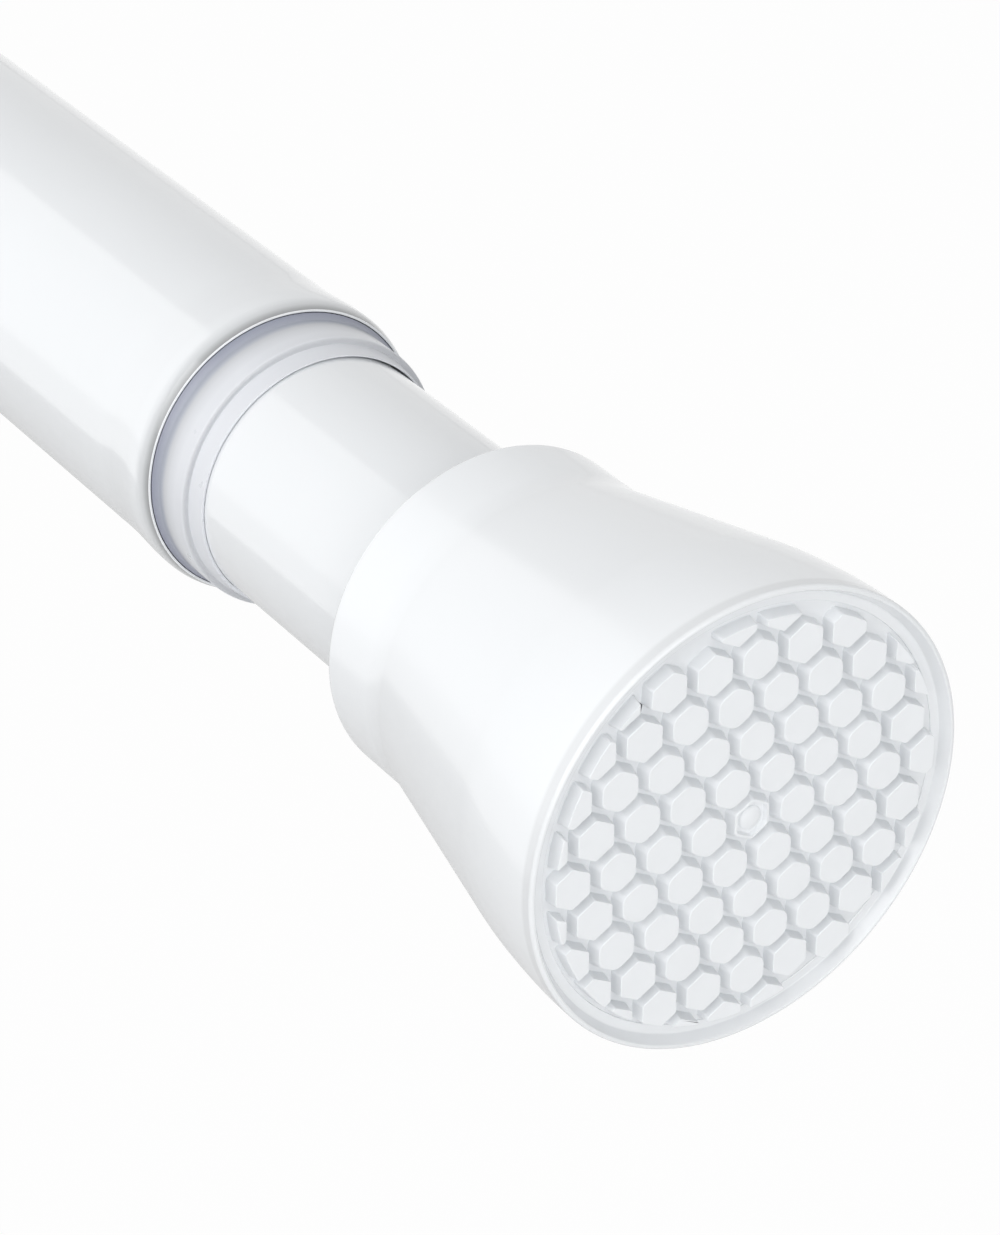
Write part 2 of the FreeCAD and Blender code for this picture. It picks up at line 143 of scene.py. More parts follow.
class PadSizes(bpy.types.PropertyGroup):
    """Sizes of the rubber pad and its studs, measured from the wall face."""
    radius: length("Radius", 17.19, "Outside radius of the pad, which fills its recess")
    stud_height: length("Stud height", 1.1, "Height of the studs above the grooves")
    thickness: length("Thickness", 1.5, "Thickness of the pad under the grooves")
    pitch: length("Pitch", 3.925, "Distance between neighbouring studs")
    base_flats: length("Base width", 3.6, "Width of a stud over its flats, at the groove")
    cut_flats: length("Cut base width", 3.3, "Width over its flats, at the groove, of a stud that the border cuts")
    top_flats: length("Top width", 3.02, "Width of a stud over its flats, at its top")
    border: length("Border", 16.9, "Radius of the circle that cuts the studs off")
    pattern_y: length("Pattern shift Y", -0.36, "How far the pattern's middle sits off the axis along Y")
    pattern_z: length("Pattern shift Z", 0.05, "How far the pattern's middle sits off the axis along Z")
    row_tilt: FloatProperty(name="Row tilt", description="Turn of the stud rows against the Y axis",
                            default=radians(4.07), subtype="ANGLE")
    least_share: share("Least stud", 0.12, "Smaller remains of a stud at the border are left off")
    border_margin: length("Border margin", 0.3, "Studs that come this near to the border are rounded one by one")
    corner_round: length("Corner round", 0.75, "Rounding of a stud's upright corners")
    cut_round: length("Cut corner round", 0.3, "Rounding of the upright corners of the studs that the border cuts")
    edge_round: length("Edge round", 0.07, "Rounding of a stud's upper edge")
    gate_round: length("Gate corner round", 0.45, "Rounding of the middle stud's upright corners")
    gate_drop: length("Gate drop", 0.2, "How far the middle stud is lower than the others")
    gate_border: length("Gate border", 0.12, "Width of the raised border of the middle stud")
    gate_depth: length("Gate depth", 0.35, "Depth of the recess in the middle stud")
    gate_radius: length("Gate mark", 1.0, "Radius of the round mark in that recess")
    gate_swell: share("Gate swell", 0.3, "Height of the round mark as a share of its radius")
    spigot_radius: length("Spigot radius", 3.0, "Radius of the snap spigot behind the pad")
    spigot_head: length("Spigot head", 3.7, "Radius of the spigot's head")


class SpringSizes(bpy.types.PropertyGroup):
    """Sizes of the compression spring."""
    wire: length("Wire", 1.5, "Thickness of the wire")
    mean_radius: length("Mean radius", 8.0, "Radius of the coil at the middle of the wire")
    turns: IntProperty(name="Turns", description="Number of turns with the closed end turns", default=9, min=4)
    stroke_keep: share("Pushed length", 0.557, "Share of its length that is left when it is pushed in")


class Finishes(bpy.types.PropertyGroup):
    """Colours and gloss of the visible materials."""
    paint: colour("Tube paint", (0.855, 0.875, 0.895), "Colour of the tubes' enamel")
    paint_roughness: share("Paint roughness", 0.16, "Roughness of the tubes' enamel")
    plastic: colour("Foot plastic", (0.89, 0.91, 0.93), "Colour of the moulded feet")
    plastic_roughness: share("Plastic roughness", 0.24, "Roughness of the moulded feet")
    rubber: colour("Pad rubber", (0.82, 0.84, 0.86), "Colour of the pads")
    rubber_roughness: share("Rubber roughness", 0.5, "Roughness of the pads")
    # Painted shade: the grooves' colour is darkened to this share.
    painted_groove_shade: share("Groove shade", 0.93, "Share of the rubber's colour that is left in the dull grooves")
    clear: colour("Clear plastic", (0.84, 0.86, 0.9), "Tint of the clear collar")
    # Painted shade: the collar's colour at the mouth, where it enters the tube.
    mouth_painted_shade: colour("Clear plastic in the mouth", (0.38, 0.39, 0.46),
                         "Tint of the collar where it enters the tube")
    clear_roughness: share("Clear roughness", 0.3, "Roughness of the clear collar")


class StageSettings(bpy.types.PropertyGroup):
    """Camera, floor and light."""
    camera_place: FloatVectorProperty(name="Camera", description="Place of the camera", size=3,
                                      default=(0.59364, -0.13869, 0.17791), subtype="TRANSLATION")
    camera_direction: FloatVectorProperty(name="View", description="Direction in which the camera looks", size=3,
                                          default=(-0.7084, 0.4350, -0.5559), subtype="DIRECTION")
    camera_roll: FloatProperty(name="Roll", description="Turn of the camera about its view", subtype="ANGLE",
                               default=radians(-3.74))
    lens: FloatProperty(name="Lens", description="Focal length of the camera in millimetres", default=120.97)
    floor_drop: FloatProperty(name="Floor drop", description="Height of the rod's axis above the floor",
                              default=0.7, unit="LENGTH")
    floor_size: FloatProperty(name="Floor size", description="Side of the floor", default=10.0, unit="LENGTH")
    floor_white: share("Floor white", 0.97, "Share of pure white in the floor as the camera sees it")
    floor_mirror: share("Floor in reflections", 0.3, "Share of pure white in the floor as reflections see it")
    ambient: FloatProperty(name="Ambient", description="Strength of the light from all round", default=0.5)
    front_light: FloatProperty(name="Front light", description="Radiance of the front softbox", default=1.66)
    left_light: FloatProperty(name="Left light", description="Radiance of the left softbox", default=1.8)
    back_card: FloatProperty(name="Back card",
                             description="Radiance of the white card behind the rod", default=0.69)
    floor_card: FloatProperty(name="Floor card", description="Radiance of the card on the floor", default=0.41)


def settings():
    return bpy.context.scene.rod_settings


class RodSettings(bpy.types.PropertyGroup):
    """All the sizes and finishes of the rod."""
    tube: PointerProperty(type=TubeSizes)
    foot: PointerProperty(type=FootSizes)
    pad: PointerProperty(type=PadSizes)
    spring: PointerProperty(type=SpringSizes)
    finish: PointerProperty(type=Finishes)
    stage: PointerProperty(type=StageSettings)


STEPS_ROUND = 192
ROUND_STEP = radians(10)
LEAST_SEGMENTS = 6
SHARP_ANGLE = radians(38)
SAME_PLACE = 1e-7
PRESS_GAP = 0.05 * MM


def section(bm, corners):
    """Closed wire of a turned piece through corners (x, r, rounding radius)."""
    verts = [bm.verts.new((x, 0, r)) for x, r, _ in corners]
    for a, b in zip(verts, verts[1:] + verts[:1]):
        bm.edges.new((a, b))
    for k, (x, r, radius) in enumerate(corners):
        if radius:
            before, after = corners[k - 1], corners[(k + 1) % len(corners)]
            arriving = Vector((x - before[0], r - before[1]))
            leaving = Vector((after[0] - x, after[1] - r))
            turn = arriving.angle(leaving)
            bmesh.ops.bevel(bm, geom=[verts[k]], offset=radius * tan(turn / 2), offset_type="OFFSET",
                            segments=max(LEAST_SEGMENTS, ceil(turn / ROUND_STEP)), profile=0.5, affect="VERTICES",
                            material=-1)


def turned(corners):
    """Mesh of a closed section turned about the rod's axis."""
    bm = bmesh.new()
    section(bm, corners)
    bmesh.ops.spin(bm, geom=bm.verts[:] + bm.edges[:], cent=CENTRE, axis=AXIS, dvec=CENTRE, angle=2 * pi,
                   steps=STEPS_ROUND, use_merge=True, use_duplicate=False)
    return bm


def hand_over(name, bm, body, material, nodes):
    """Makes the object of a finished mesh, at the origin, and gives it to its body."""
    bmesh.ops.remove_doubles(bm, verts=bm.verts, dist=SAME_PLACE)
    bmesh.ops.recalc_face_normals(bm, faces=bm.faces)
    for face in bm.faces:
        face.smooth = True
        face.material_index = 0
    for edge in bm.edges:
        edge.smooth = edge.calc_face_angle(0) < SHARP_ANGLE
    mesh = bpy.data.meshes.new(name)
    bm.to_mesh(mesh)
    bm.free()
    mesh.materials.append(material)
    piece = bpy.data.objects.new(name, mesh)
    bpy.context.scene.collection.objects.link(piece)
    even = piece.modifiers.new("Even shading", "WEIGHTED_NORMAL")
    even.keep_sharp = True
    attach(piece, body)
    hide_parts(*nodes)
    return piece


class Surface:
    """A new material with one Principled shader and the object's own coordinates."""

    def __init__(self, name, roughness):
        self.material = bpy.data.materials.new(name)
        self.material.use_nodes = True
        self.tree = self.material.node_tree
        self.shader = self.tree.nodes["Principled BSDF"]
        self.shader.inputs["Roughness"].default_value = roughness
        self.place = self.tree.nodes.new("ShaderNodeTexCoord").outputs["Object"]

    def set(self, **values):
        """Sets inputs of the shader by their names, with underscores for spaces."""
        for name, value in values.items():
            self.shader.inputs[name.replace("_", " ")].default_value = value
        return self

    def stretched(self, scale):
        """Object coordinates stretched by a factor for each axis."""
        node = self.tree.nodes.new("ShaderNodeMapping")
        node.inputs["Scale"].default_value = scale
        self.tree.links.new(self.place, node.inputs["Vector"])
        return node.outputs["Vector"]

    def noise(self, scale, detail=3.0, place=None):
        node = self.tree.nodes.new("ShaderNodeTexNoise")
        node.inputs["Scale"].default_value = scale
        node.inputs["Detail"].default_value = detail
        self.tree.links.new(place or self.place, node.inputs["Vector"])
        return node.outputs["Fac"]

    def tint(self, low, high, factor):
        """Colour that wanders between low and high."""
        node = self.tree.nodes.new("ShaderNodeValToRGB")
        node.color_ramp.elements[0].position = 0.3
        node.color_ramp.elements[1].position = 0.7
        node.color_ramp.elements[0].color = (*low, 1)
        node.color_ramp.elements[1].color = (*high, 1)
        self.tree.links.new(factor, node.inputs["Fac"])
        self.tree.links.new(node.outputs["Color"], self.shader.inputs["Base Color"])
        return self

    def rod_place(self):
        """Place along the rod."""
        node = self.tree.nodes.new("ShaderNodeSeparateXYZ")
        self.tree.links.new(self.place, node.inputs["Vector"])
        return node.outputs["X"]

    def along_rod(self, start, end, stops):
        """Colour that changes along the rod, through stops of (share of the way, colour)."""
        return self.ramp(self.rod_place(), start, end, stops)

    def near_walls(self, depth, stops):
        """Colour that changes between a depth behind either end of the rod and the end itself."""
        start, end = node_start("outer_end_pad"), node_end("inner_end_pad")
        middle = (start + end) / 2
        offset = self.tree.nodes.new("ShaderNodeMath")
        offset.operation = "SUBTRACT"
        offset.inputs[1].default_value = middle
        self.tree.links.new(self.rod_place(), offset.inputs[0])
        size = self.tree.nodes.new("ShaderNodeMath")
        size.operation = "ABSOLUTE"
        self.tree.links.new(offset.outputs["Value"], size.inputs[0])
        return self.ramp(size.outputs["Value"], middle - start - depth, middle - start, stops)

    def ramp(self, value, start, end, stops):
        """Colour that follows a value from start to end through the stops."""
        span = self.tree.nodes.new("ShaderNodeMapRange")
        span.inputs["From Min"].default_value = start
        span.inputs["From Max"].default_value = end
        self.tree.links.new(value, span.inputs["Value"])
        node = self.tree.nodes.new("ShaderNodeValToRGB")
        elements = node.color_ramp.elements
        while len(elements) < len(stops):
            elements.new(1)
        for element, (share_of_way, tone) in zip(elements, stops):
            element.position = share_of_way
            element.color = (*tone, 1)
        self.tree.links.new(span.outputs["Result"], node.inputs["Fac"])
        return node.outputs["Color"]

    def paint_shade(self, factor):
        """Multiplies the colour by one that varies over the surface, which paints shade onto it."""
        base = self.shader.inputs["Base Color"]
        mix = self.tree.nodes.new("ShaderNodeMix")
        mix.data_type = "RGBA"
        mix.blend_type = "MULTIPLY"
        mix.inputs[0].default_value = 1
        self.tree.links.new(base.links[0].from_socket, mix.inputs[6])
        self.tree.links.new(factor, mix.inputs[7])
        self.tree.links.new(mix.outputs[2], base)
        return self

    def vary_roughness(self, low, high, factor):
        node = self.tree.nodes.new("ShaderNodeMapRange")
        node.inputs["To Min"].default_value = low
        node.inputs["To Max"].default_value = high
        self.tree.links.new(factor, node.inputs["Value"])
        self.tree.links.new(node.outputs["Result"], self.shader.inputs["Roughness"])
        return self

    def relief(self, height, strength, distance):
        node = self.tree.nodes.new("ShaderNodeBump")
        node.inputs["Strength"].default_value = strength
        node.inputs["Distance"].default_value = distance
        self.tree.links.new(height, node.inputs["Height"])
        self.tree.links.new(node.outputs["Normal"], self.shader.inputs["Normal"])
        return self


def shade(rgb, factor):
    return tuple(c * factor for c in rgb)


def grey(value):
    return (value, value, value)


def enamel(name):
    """Stoved white enamel on steel tube: high gloss with a faint orange peel along the drawn tube."""
    f = settings().finish
    s = Surface(name, f.paint_roughness)
    s.tint(shade(f.paint, 0.985), f.paint, s.noise(60, 2))
    s.vary_roughness(f.paint_roughness * 0.85, f.paint_roughness * 1.15, s.noise(220, 3))
    s.relief(s.noise(420, 2, s.stretched((0.5, 1, 1))), 0.05, 0.00006)
    return s.set(Coat_Weight=0.5, Coat_Roughness=0.05)


def mouth_enamel_with_painted_shade():
    """Enamel with painted shade: its colour is darkened to grey over the roll behind the mouth's edge, and is full
    again on the edge itself.
    """
    mouth, roll = node_end("outer_tube"), 2 * MM
    s = enamel("Outer tube enamel")
    # Painted shade: the enamel's colour falls to 0.36 of itself just behind the mouth's edge.
    stops = [(0, 1), (0.15, 0.99), (0.4, 0.88), (0.65, 0.72), (0.85, 0.46), (0.96, 0.36), (0.98, 1)]
    s.paint_shade(s.along_rod(mouth - roll, mouth, [(place, grey(tone)) for place, tone in stops]))
    return s.material


def foot_plastic():
    """White moulded plastic with a satin gloss, with painted shade that makes it a little darker on the rim's lip
    beside the pad.
    """
    f = settings().finish
    lip_shade_depth = 1.3 * MM
    s = Surface("Foot plastic", f.plastic_roughness)
    s.tint(shade(f.plastic, 0.985), f.plastic, s.noise(45, 2))
    # Painted shade: the last 1.3 mm before the wall face, the rim's lip and the ring beside the pad, is darkened to
    # 0.88.
    s.paint_shade(s.near_walls(lip_shade_depth, [(0, grey(1)), (0.25, grey(0.88)), (1, grey(0.88))]))
    s.vary_roughness(f.plastic_roughness * 0.88, f.plastic_roughness * 1.12, s.noise(400, 4))
    s.relief(s.noise(1500, 3), 0.05, 0.00003)
    return s.set(Coat_Weight=0.5, Coat_Roughness=0.12).material


def pad_rubber():
    """White soft rubber, finely grained, with painted shade that makes the grooves darker than the studs."""
    f = settings().finish
    s = Surface("Pad rubber", f.rubber_roughness)
    s.tint(shade(f.rubber, 0.98), f.rubber, s.noise(300, 3))
    # Painted shade: the colour is darkened in the grooves and full on the studs' tops.
    s.paint_shade(s.near_walls(settings().pad.stud_height, [(0, grey(f.painted_groove_shade)), (0.85, grey(1))]))
    s.vary_roughness(f.rubber_roughness * 0.9, f.rubber_roughness * 1.1, s.noise(900, 3))
    s.relief(s.noise(2600, 3), 0.1, 0.00003)
    return s.material


def clear_plastic():
    """Clear moulded plastic with painted shade: dark where it enters the tube and at the band's front edge."""
    f = settings().finish
    s = Surface("Clear plastic", f.clear_roughness)
    s.tint(shade(f.clear, 0.97), f.clear, s.noise(150, 2))
    mouth = node_end("outer_tube")
    front = settings().tube.shoulder
    # Painted shade: dark bluish at the mouth, fading to full colour by 3 mm, and a thin dark line at the band's
    # front edge.
    stops = [(0, f.mouth_painted_shade), (0.9 * MM, (0.56, 0.58, 0.63)), (1.4 * MM, grey(0.78)), (2 * MM, grey(0.9)),
             (3 * MM, grey(1)), (front - 0.2 * MM, grey(1)), (front - 0.05 * MM, grey(0.76)),
             (front + 0.02 * MM, grey(0.76)), (front + 0.08 * MM, grey(1))]
    reach = front + MM
    s.paint_shade(s.along_rod(mouth, mouth + reach, [(place / reach, tone) for place, tone in stops]))
    s.vary_roughness(f.clear_roughness * 0.8, f.clear_roughness * 1.2, s.noise(500, 3))
    s.relief(s.noise(700, 2), 0.05, 0.00005)
    return s.set(Transmission_Weight=0.1, IOR=1.46).material


def lock_plastic():
    """Off-white moulded nylon of the lock ring, the plug and the bush."""
    s = Surface("Lock plastic", 0.45)
    s.tint((0.74, 0.74, 0.7), (0.8, 0.8, 0.77), s.noise(120, 3))
    s.relief(s.noise(1200, 3), 0.1, 0.00004)
    return s.material


def core_plastic():
    """Dark grey glass-filled nylon of the cam core."""
    s = Surface("Core plastic", 0.5)
    s.tint((0.028, 0.028, 0.03), (0.045, 0.045, 0.048), s.noise(500, 4))
    s.relief(s.noise(1800, 4), 0.15, 0.00004)
    return s.material


def spring_steel():
    """Oiled spring steel, drawn and darkened."""
    s = Surface("Spring steel", 0.32)
    s.tint((0.36, 0.36, 0.37), (0.5, 0.5, 0.51), s.noise(700, 4))
    s.vary_roughness(0.25, 0.4, s.noise(1500, 3))
    return s.set(Metallic=1.0).material


def plated_steel():
    """Zinc-plated steel with fine turning marks across the rod."""
    s = Surface("Plated steel", 0.3)
    s.tint((0.6, 0.61, 0.63), (0.72, 0.72, 0.72), s.noise(180, 4))
    s.relief(s.noise(900, 3, s.stretched((6, 0.6, 0.6))), 0.12, 0.00003)
    s.vary_roughness(0.22, 0.38, s.noise(900, 3))
    return s.set(Metallic=1.0).material


class ROD_OT_tubes(bpy.types.Operator):
    """Make the outer tube with its rolled mouth, and the inner tube"""
    bl_idname = "rod.tubes"
    bl_label = "Tubes"

    def execute(self, context):
        t = settings().tube
        start, mouth = node_start("outer_tube"), node_end("outer_tube")
        bore = t.outer_radius - t.wall
        crest = t.outer_radius + t.bead_height
        edge = crest - t.mouth_turn
        hold_over = 0.45 * t.bead_crest
        outer = turned([
            (start, t.outer_radius, 0.15 * MM),
            (mouth - t.bead_start, t.outer_radius, 30 * MM),
            (mouth - t.bead_crest, crest, 14 * MM),
            (mouth - hold_over, crest - 0.06 * MM, 3 * MM),
            (mouth, edge, 0.12 * MM),
            (mouth, edge - t.edge_width, 0.05 * MM),
            (mouth - t.bead_crest, bore, 2 * MM),
            (start, bore, 0.1 * MM),
        ])
        hand_over("outer_tube_enamel", outer, "outer_side", mouth_enamel_with_painted_shade(), ["outer_tube"])
        inner_start, inner_end = node_start("inner_tube"), node_end("inner_tube")
        inner_bore = t.inner_radius - t.wall
        inner = turned([
            (inner_start, t.inner_radius, 0.15 * MM),
            (inner_end, t.inner_radius, 0.15 * MM),
            (inner_end, inner_bore, 0.1 * MM),
            (inner_start, inner_bore, 0.1 * MM),
        ])
        hand_over("inner_tube_enamel", inner, "inner_side", enamel("Inner tube enamel").material,
                  ["inner_tube"])
        return {"FINISHED"}


class ROD_OT_collar(bpy.types.Operator):
    """Make the clear collar in the outer tube's mouth"""
    bl_idname = "rod.collar"
    bl_label = "Mouth collar"

    def execute(self, context):
        t = settings().tube
        inside, end = node_start("mouth_collar"), node_end("mouth_collar") + t.lip_reach
        mouth = node_end("outer_tube")
        front = mouth + t.shoulder
        radius = t.outer_radius - t.wall - PRESS_GAP
        bore = t.inner_radius + t.collar_gap
        lip_bore = t.inner_radius + t.lip_gap
        root = front - 0.4 * MM
        bm = turned([
            (inside, radius, 0.1 * MM),
            (mouth - t.seat_width, radius, 0),
            (mouth - 0.02 * MM, t.band_radius + t.seat_height, 0.05 * MM),
            (mouth + t.seat_width, t.band_radius, 0.5 * MM),
            (front, t.band_radius, 0.3 * MM),
            (front, lip_bore + t.lip_height, 0.08 * MM),
            (end, lip_bore + t.lip_edge, 0.06 * MM),
            (end, lip_bore, 0.05 * MM),
            (root, lip_bore, 0),
            (root, bore, 0),
            (inside, bore, 0.1 * MM),
        ])
        lip = [v for v in bm.verts if v.co.x > root - 0.1 * MM and v.co.yz.length < lip_bore + 0.06 * MM]
        aside = Vector((0, cos(t.play_side), sin(t.play_side))) * t.play
        bmesh.ops.translate(bm, verts=lip, vec=aside)
        hand_over("clear_collar", bm, "outer_side", clear_plastic(), ["mouth_collar"])
        return {"FINISHED"}


def turn_round(bm):
    """Turns a piece drawn at the origin's end round to the other end of the rod."""
    end = node_end("inner_end_pad")
    bmesh.ops.rotate(bm, verts=bm.verts, cent=CENTRE, matrix=Matrix.Rotation(pi, 3, "Z"))
    bmesh.ops.translate(bm, verts=bm.verts, vec=Vector((end, 0, 0)))


def foot_mesh(bore):
    """Flared shell, sleeve, end web and ribs, drawn at the origin's end with its wall face at x = 0."""
    f = settings().foot
    p = settings().pad
    slope = tan(f.cone_angle)
    rim_meet = f.cone_start - (f.rim_radius - f.neck_radius) / slope
    web_front = p.stud_height + p.thickness + PRESS_GAP
    web_back = web_front + f.web_thickness
    hole = p.spigot_radius + 0.1 * MM
    sleeve = bore + f.sleeve_wall
    ledge = f.recess_radius - f.ledge
    wall = f.shell_wall / cos(f.cone_angle)

    def hollow_place(radius):
        return f.cone_start - (radius + wall - f.neck_radius) / slope

    hollow_top = sleeve + 0.4 * MM
    hollow = [
        (web_front, sleeve, 0),
        (hollow_place(hollow_top), sleeve, 0.15 * MM),
        (hollow_place(hollow_top), hollow_top, 0.15 * MM),
        (hollow_place(ledge), ledge, 3 * MM),
        (web_front, ledge, 0.1 * MM),
    ]
    lip_inside = f.rim_radius - f.lip_width
    bm = turned([(web_front, hole, 0.1 * MM)] + hollow + [
        (web_front, f.recess_radius, 0),
        (f.ring_depth, f.recess_radius, 0.08 * MM),
        (f.ring_depth, lip_inside - f.slope_width, 0.15 * MM),
        (f.lip_back, lip_inside, 0.1 * MM),
        (f.lip_back, f.rim_radius, f.lip_round),
        (rim_meet, f.rim_radius, f.crown_radius),
        (f.cone_start, f.neck_radius, f.neck_blend),
        (f.length, f.neck_radius, f.neck_round),
        (f.length, bore, 0.2 * MM),
        (web_back, bore, 0.1 * MM),
        (web_back, hole, 0.1 * MM),
    ])
    sink = 0.3 * MM
    for k in range(f.rib_count):
        rib = [bm.verts.new((x, -f.rib_thickness / 2, r)) for x, r in (
            (web_front + sink, sleeve - sink), (hollow_place(hollow_top) + sink, sleeve - sink),
            (hollow_place(hollow_top) + sink, hollow_top), (hollow_place(ledge) + sink, ledge + sink),
            (web_front + sink, ledge + sink))]
        face = bm.faces.new(rib)
        grown = bmesh.ops.extrude_face_region(bm, geom=[face], use_keep_orig=True)
        far = [v for v in grown["geom"] if isinstance(v, bmesh.types.BMVert)]
        bmesh.ops.translate(bm, verts=far, vec=Vector((0, f.rib_thickness, 0)))
        bmesh.ops.rotate(bm, verts=rib + far, cent=CENTRE, matrix=Matrix.Rotation(2 * pi * k / f.rib_count, 3, "X"))
    return bm


class ROD_OT_feet(bpy.types.Operator):
    """Make the two moulded feet"""
    bl_idname = "rod.feet"
    bl_label = "Feet"

    def execute(self, context):
        t = settings().tube
        plastic = foot_plastic()
        near = foot_mesh(t.inner_radius + PRESS_GAP)
        turn_round(near)
        hand_over("inner_foot", near, "inner_side", plastic, ["inner_end_cap"])
        far = foot_mesh(t.outer_radius + PRESS_GAP)
        hand_over("outer_foot", far, "outer_side", plastic, ["outer_end_cap"])
        return {"FINISHED"}


CLEAR_STUD = 1
GATE_STUD = 2
BORDER_SIDES = 96
ROUND_SEGMENTS = 3
CORNER_ANGLE = radians(20)
FLAT = 0.999
SPIGOT_NECK = 1.7 * MM
SPIGOT_LENGTH = 3.2 * MM


def stud_field(bm, p):
    """Flat honeycomb inside the border circle.

    The faces that become studs are numbered by their material index: those clear of the border share one
    number, and the middle one and each of the others have a number of their own. The function returns all
    the numbers.
    """
    reach = p.pitch / sqrt(3)
    rows = ceil(2 * p.border / p.pitch)
    across = Matrix.Rotation(pi / 2, 4, "Y")
    for i in range(-rows, rows + 1):
        for j in range(-rows, rows + 1):
            y, z = p.pitch * (i + j / 2), p.pitch * j * sqrt(3) / 2
            if hypot(y, z) < p.border + reach:
                cell = Matrix.Translation((0, y, z)) @ Matrix.Rotation(pi / 6, 4, "X") @ across
                bmesh.ops.create_circle(bm, cap_ends=True, segments=6, radius=reach, matrix=cell)
    bmesh.ops.remove_doubles(bm, verts=bm.verts, dist=p.pitch / 100)
    bmesh.ops.recalc_face_normals(bm, faces=bm.faces)
    if bm.faces[:][0].normal.x > 0:
        bmesh.ops.reverse_faces(bm, faces=bm.faces)
    cells = bm.faces[:]
    cut_from = p.border - p.border_margin - hypot(p.pattern_y, p.pattern_z)
    cut = [cell for cell in cells if max(v.co.yz.length for v in cell.verts) > cut_from]
    clear = [cell for cell in cells if cell not in cut]
    bmesh.ops.inset_individual(bm, faces=clear, thickness=(p.pitch - p.base_flats) / 2, use_even_offset=True)
    bmesh.ops.inset_individual(bm, faces=cut, thickness=(p.pitch - p.cut_flats) / 2, use_even_offset=True)
    whole = clear[0].calc_area()
    for cell in cells:
        cell.material_index = CLEAR_STUD
    for cell in cut:
        cell.material_index = GATE_STUD + 1
    bmesh.ops.rotate(bm, verts=bm.verts, cent=CENTRE, matrix=Matrix.Rotation(p.row_tilt, 3, "X"))
    bmesh.ops.translate(bm, verts=bm.verts, vec=Vector((0, p.pattern_y, p.pattern_z)))
    for k in range(BORDER_SIDES):
        outwards = Vector((0, cos(2 * pi * k / BORDER_SIDES), sin(2 * pi * k / BORDER_SIDES)))
        bmesh.ops.bisect_plane(bm, geom=bm.verts[:] + bm.edges[:] + bm.faces[:], dist=SAME_PLACE,
                               plane_co=outwards * p.border, plane_no=outwards, clear_outer=True)
    bmesh.ops.remove_doubles(bm, verts=bm.verts, dist=1.2 * (p.cut_flats - p.top_flats) / 2)
    last = GATE_STUD
    for face in bm.faces:
        if face.calc_area() < whole * p.least_share:
            face.material_index = 0
        if face.material_index and face.calc_center_median().length < p.pitch / 4:
            face.material_index = GATE_STUD
        elif face.material_index > GATE_STUD:
            last += 1
            face.material_index = last
    return range(CLEAR_STUD, last + 1)


def faces_of(bm, number, least=0):
    """Faces of the studs with this number, those above a least area."""
    return [face for face in bm.faces if face.material_index == number and face.calc_area() > least]


def round_off(bm, edges, offset, clamp):
    """Rounds edges, and where clamp is set no further than their neighbours leave room for."""
    if edges:
        bmesh.ops.bevel(bm, geom=edges, offset=offset, offset_type="OFFSET", segments=ROUND_SEGMENTS, profile=0.5,
                        affect="EDGES", clamp_overlap=clamp, material=-1)


def round_studs(bm, p, numbers, least):
    """Rounds the studs' upright corners and then the edges round their tops."""
    corner = {CLEAR_STUD: p.corner_round, GATE_STUD: p.gate_round}
    for number in numbers:
        clamp = number > GATE_STUD
        walls = [face for face in faces_of(bm, number) if abs(face.normal.x) < FLAT]
        shared = [edge for face in walls for edge in face.edges
                  if all(near.material_index == number and abs(near.normal.x) < FLAT for near in edge.link_faces)]
        corners = [edge for edge in set(shared) if edge.calc_face_angle(0) > CORNER_ANGLE]
        corners.sort(key=lambda edge: edge.index)
        round_off(bm, corners, corner.get(number, p.cut_round) * tan(pi / 6), clamp)
        bm.normal_update()
    for number in numbers:
        tops = [face for face in faces_of(bm, number, least) if face.normal.x < -FLAT]
        round_off(bm, [edge for face in tops for edge in face.edges], p.edge_round, number > GATE_STUD)
        bm.normal_update()


def stretch_border(bm, border, factor, shift):
    """Grows the open border by one row of faces, scaled about the axis and moved along it."""
    grown = bmesh.ops.extrude_edge_only(bm, edges=border)["geom"]
    verts = [g for g in grown if isinstance(g, bmesh.types.BMVert)]
    bmesh.ops.scale(bm, verts=verts, vec=Vector((1, factor, factor)))
    bmesh.ops.translate(bm, verts=verts, vec=Vector((shift, 0, 0)))
    return [g for g in grown if isinstance(g, bmesh.types.BMEdge) and all(v in verts for v in g.verts)]


